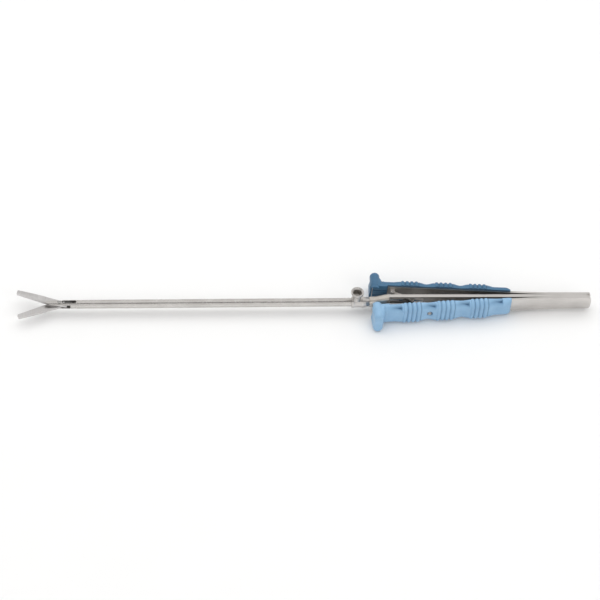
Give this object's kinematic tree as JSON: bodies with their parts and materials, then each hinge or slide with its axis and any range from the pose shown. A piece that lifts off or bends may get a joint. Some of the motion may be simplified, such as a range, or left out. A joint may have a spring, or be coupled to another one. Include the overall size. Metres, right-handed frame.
{
  "type": "laparoscopic scissors",
  "caption": "Slim scissors for keyhole surgery: squeezing two ribbed spring arms pulls a rod that closes the blades.",
  "frame": {"origin": "on the shaft axis at the front face of the port collar", "axes": "+X back along the shaft to the handle's end, +Y to the far arm, +Z along the pins and out of the flush port"},
  "size_m": [0.3306, 0.0346, 0.0163],
  "materials": {
    "tube_steel": "satin drawn tube",
    "satin_steel": "satin",
    "pin_steel": "fine turned",
    "seal_rubber": "matt",
    "warm_steel": "satin, slightly warm",
    "handle_steel": "satin brushed along its length",
    "rod_steel": "ground",
    "blade_steel": "ground satin",
    "grip_dark": "matt moulded",
    "grip_light": "matt moulded"
  },
  "bodies": {
    "frame": {"outer_tube": "tube_steel", "jaw_housing": "satin_steel", "blade_pivot_screw": "pin_steel", "port_collar": "satin_steel", "flush_port": "satin_steel", "taper_nut": "satin_steel", "rod_seal": "seal_rubber", "front_block": "warm_steel", "centre_bar": "handle_steel", "far_arm_root": "handle_steel", "near_arm_root": "handle_steel"},
    "far_handle": {"far_arm": "handle_steel", "far_lug": "satin_steel", "far_link_pin": "pin_steel", "far_grip": "grip_dark", "far_grip_screw": "pin_steel"},
    "near_handle": {"near_arm": "handle_steel", "near_lug": "satin_steel", "near_link_pin": "pin_steel", "near_grip": "grip_light", "near_grip_screw": "pin_steel"},
    "rod": {"push_rod": "rod_steel", "rod_fork": "rod_steel", "drive_pin": "pin_steel", "crosshead": "rod_steel", "crosshead_pin": "pin_steel"},
    "far_link_body": {"far_link": "satin_steel"},
    "near_link_body": {"near_link": "satin_steel"},
    "upper_jaw": {"upper_blade": "blade_steel"},
    "lower_jaw": {"lower_blade": "blade_steel"}
  },
  "joints": [
    {"name": "handle_squeeze", "type": "hinge", "parent": "frame", "child": "far_handle", "pos_m": [0.11, 0.00165, 0], "axis": [0, 0, 1], "range_deg": [0, 2.5], "stiffness_Nm_per_rad": 14},
    {"name": "near_squeeze", "type": "hinge", "parent": "frame", "child": "near_handle", "pos_m": [0.11, -0.00165, 0], "axis": [0, 0, -1], "range_deg": [0, 2.5]},
    {"name": "rod_slide", "type": "slide", "parent": "frame", "child": "rod", "axis": [1, 0, 0], "range_m": [0, 0.00109]},
    {"name": "far_link_turn", "type": "hinge", "parent": "rod", "child": "far_link_body", "pos_m": [0.03491, 0, 0], "axis": [0, 0, 1], "range_deg": [0, 18.8]},
    {"name": "near_link_turn", "type": "hinge", "parent": "rod", "child": "near_link_body", "pos_m": [0.03491, 0, 0], "axis": [0, 0, -1], "range_deg": [0, 18.8]},
    {"name": "upper_blade_turn", "type": "hinge", "parent": "frame", "child": "upper_jaw", "pos_m": [-0.1677, 0, 0], "axis": [0, 0, 1], "range_deg": [0, 19]},
    {"name": "lower_blade_turn", "type": "hinge", "parent": "frame", "child": "lower_jaw", "pos_m": [-0.1677, 0, 0], "axis": [0, 0, -1], "range_deg": [0, 19]}
  ],
  "couplings": [
    {"joint": "near_squeeze", "follows": "handle_squeeze", "ratio": 1},
    {"joint": "rod_slide", "follows": "handle_squeeze", "m_per_rad": 0.025072},
    {"joint": "far_link_turn", "follows": "handle_squeeze", "ratio": 7.52},
    {"joint": "near_link_turn", "follows": "handle_squeeze", "ratio": 7.52},
    {"joint": "upper_blade_turn", "follows": "handle_squeeze", "ratio": 7.6},
    {"joint": "lower_blade_turn", "follows": "handle_squeeze", "ratio": 7.6}
  ]
}
